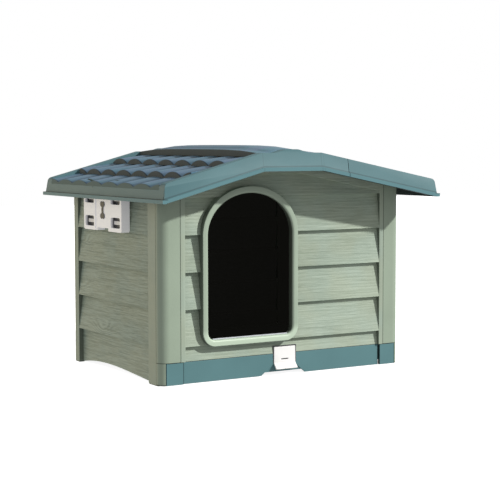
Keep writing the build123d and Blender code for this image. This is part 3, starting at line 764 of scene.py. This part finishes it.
class KENNEL_OT_white(bpy.types.Operator):
    """Rounds the latch and the side plates, and paints the relief"""
    bl_idname = "kennel.white"
    bl_label = "Latch and plates"

    def execute(self, context):
        sizes, colours = context.scene.kennel_sizes, context.scene.kennel_colours
        white = resin_finish("white_resin", colours.white, 0.38, 0.0001, 0.02, 0.2)
        dark = resin_finish("emblem_resin", colours.emblem, 0.5)
        moulded("latch", "white", white, sizes.plate_rounding)
        self.latch_shade_plate(colours)
        pocketed = plate_finish("plate_resin", colours.white)
        for node in ("plate_left", "plate_right"):
            moulded(node, "white", pocketed, sizes.plate_rounding)
        for node in ("emblem_left", "emblem_right"):
            moulded(node, "emblem", dark, 0.0006, 2)
        return {"FINISHED"}

    def latch_shade_plate(self, colours):
        """Makes the dark plate behind the latch, painted shade that shows as a line round it."""
        low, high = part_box("latch")
        front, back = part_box("trim_middle")[0].y - SHADE_PLATE_PROUD, FRONT_FACE + SHADE_PLATE_SUNK
        bottom, top = low.z + SHADE_PLATE_RISE, high.z + SHADE_PLATE_MARGIN
        middle = ((low.x + high.x) / 2 + SHADE_PLATE_SHIFT, (front + back) / 2, (bottom + top) / 2)
        alone()
        bpy.ops.mesh.primitive_cube_add(size=1.0, location=middle)
        shade_plate = bpy.context.object
        shade_plate.name = "latch_shade_plate"
        shade_plate.scale = (high.x - low.x + 2 * SHADE_PLATE_MARGIN, back - front, top - bottom)
        bpy.ops.object.transform_apply(location=True, rotation=True, scale=True)
        round_edges(shade_plate, 0.0022)
        dress(shade_plate, "emblem", resin_finish("latch_shade_resin", colours.emblem, 0.6))


class KENNEL_OT_roof(bpy.types.Operator):
    """Rounds the two roof shells"""
    bl_idname = "kennel.roof"
    bl_label = "Roof shells"

    def execute(self, context):
        sizes, colours = context.scene.kennel_sizes, context.scene.kennel_colours
        for node, side_in in (("roof_left", RIGHT), ("roof_right", LEFT)):
            # Painted shade on the undersides and inner faces, a painted highlight on the flange,
            # painted shade in the groove and creases, and painted warm light on the faces that look
            # along X
            teal = resin_finish(node + "_resin", colours.roof, 0.56, wear=0.15,
                                inward=(DOWN, side_in), inside=tinted(colours.roof, 0.18),
                                paler=roof_lip, darker=roof_lines, specular=0.42,
                                aside=colours.eaves)
            moulded(node, "roof", teal, sizes.roof_rounding)
        return {"FINISHED"}


class KENNEL_OT_tiles(bpy.types.Operator):
    """Rounds the tile courses and the ridge cap"""
    bl_idname = "kennel.tiles"
    bl_label = "Tiles and ridge cap"

    def execute(self, context):
        sizes, colours = context.scene.kennel_sizes, context.scene.kennel_colours
        for side, count in (("left", 3), ("right", 4)):
            for i in range(count):
                node = "tiles_%s_%d" % (side, i + 1)
                low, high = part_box(node)
                lower_x = low.x if side == "left" else high.x
                noses, rim = colours.noses, RIM_SHADE
                if i == count - 1:
                    noses, rim = colours.eave_noses, EAVE_RIM_SHADE
                shift = 0.5 * (min(i, count - 2) % 2)
                blue = tile_finish("tile_resin_%s_%d" % (side, i + 1), colours.tiles, noses,
                                   lower_x, rim, shift)
                moulded(node, "tile", blue, sizes.tile_rounding, 3, TILE_TURN)
        # The cap's flanks take the painted tone of the noses, and are painted darker below as
        # shadow
        cap = cap_finish("ridge_resin", colours.cap, colours.noses,
                         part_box("ridge_cap")[0].z + CAP_SHADE)
        moulded("ridge_cap", "tile", cap, sizes.tile_rounding, 3, TILE_TURN)
        return {"FINISHED"}


class KENNEL_OT_base(bpy.types.Operator):
    """Rounds the base tray"""
    bl_idname = "kennel.base"
    bl_label = "Base tray"

    def execute(self, context):
        colours = context.scene.kennel_colours
        # The tray is painted near black all round as the shade inside the kennel, with a faint
        # painted glow
        around = (UP, RIGHT, LEFT, BACKWARD, FORWARD)
        dark = resin_finish("base_resin", colours.floor, 0.6, inward=around, inside=colours.floor)
        moulded("base_tray", "base", dark, 0.0005)
        return {"FINISHED"}


OPERATORS = (KENNEL_OT_stage, KENNEL_OT_walls, KENNEL_OT_columns, KENNEL_OT_doorway, KENNEL_OT_trim,
             KENNEL_OT_white, KENNEL_OT_roof, KENNEL_OT_tiles, KENNEL_OT_base)


class KENNEL_PT_panel(bpy.types.Panel):
    """Lists the kennel's pieces, sizes and colours"""
    bl_idname = "KENNEL_PT_panel"
    bl_label = "Dog kennel"
    bl_space_type = "VIEW_3D"
    bl_region_type = "UI"
    bl_category = "Kennel"

    def draw(self, context):
        for operator in OPERATORS:
            self.layout.operator(operator.bl_idname)
        for group in (context.scene.kennel_sizes, context.scene.kennel_colours):
            for key in group.bl_rna.properties.keys():
                if key not in ("rna_type", "name"):
                    self.layout.prop(group, key)


CLASSES = (KennelSizes, KennelColours) + OPERATORS + (KENNEL_PT_panel,)


def register():
    for item in CLASSES:
        bpy.utils.register_class(item)
    bpy.types.Scene.kennel_sizes = PointerProperty(type=KennelSizes)
    bpy.types.Scene.kennel_colours = PointerProperty(type=KennelColours)


def unregister():
    del bpy.types.Scene.kennel_colours
    del bpy.types.Scene.kennel_sizes
    for item in reversed(CLASSES):
        bpy.utils.unregister_class(item)


def main():
    register()
    for operator in OPERATORS:
        group, action = operator.bl_idname.split(".")
        getattr(getattr(bpy.ops, group), action)()


if __name__ == "__main__":
    main()
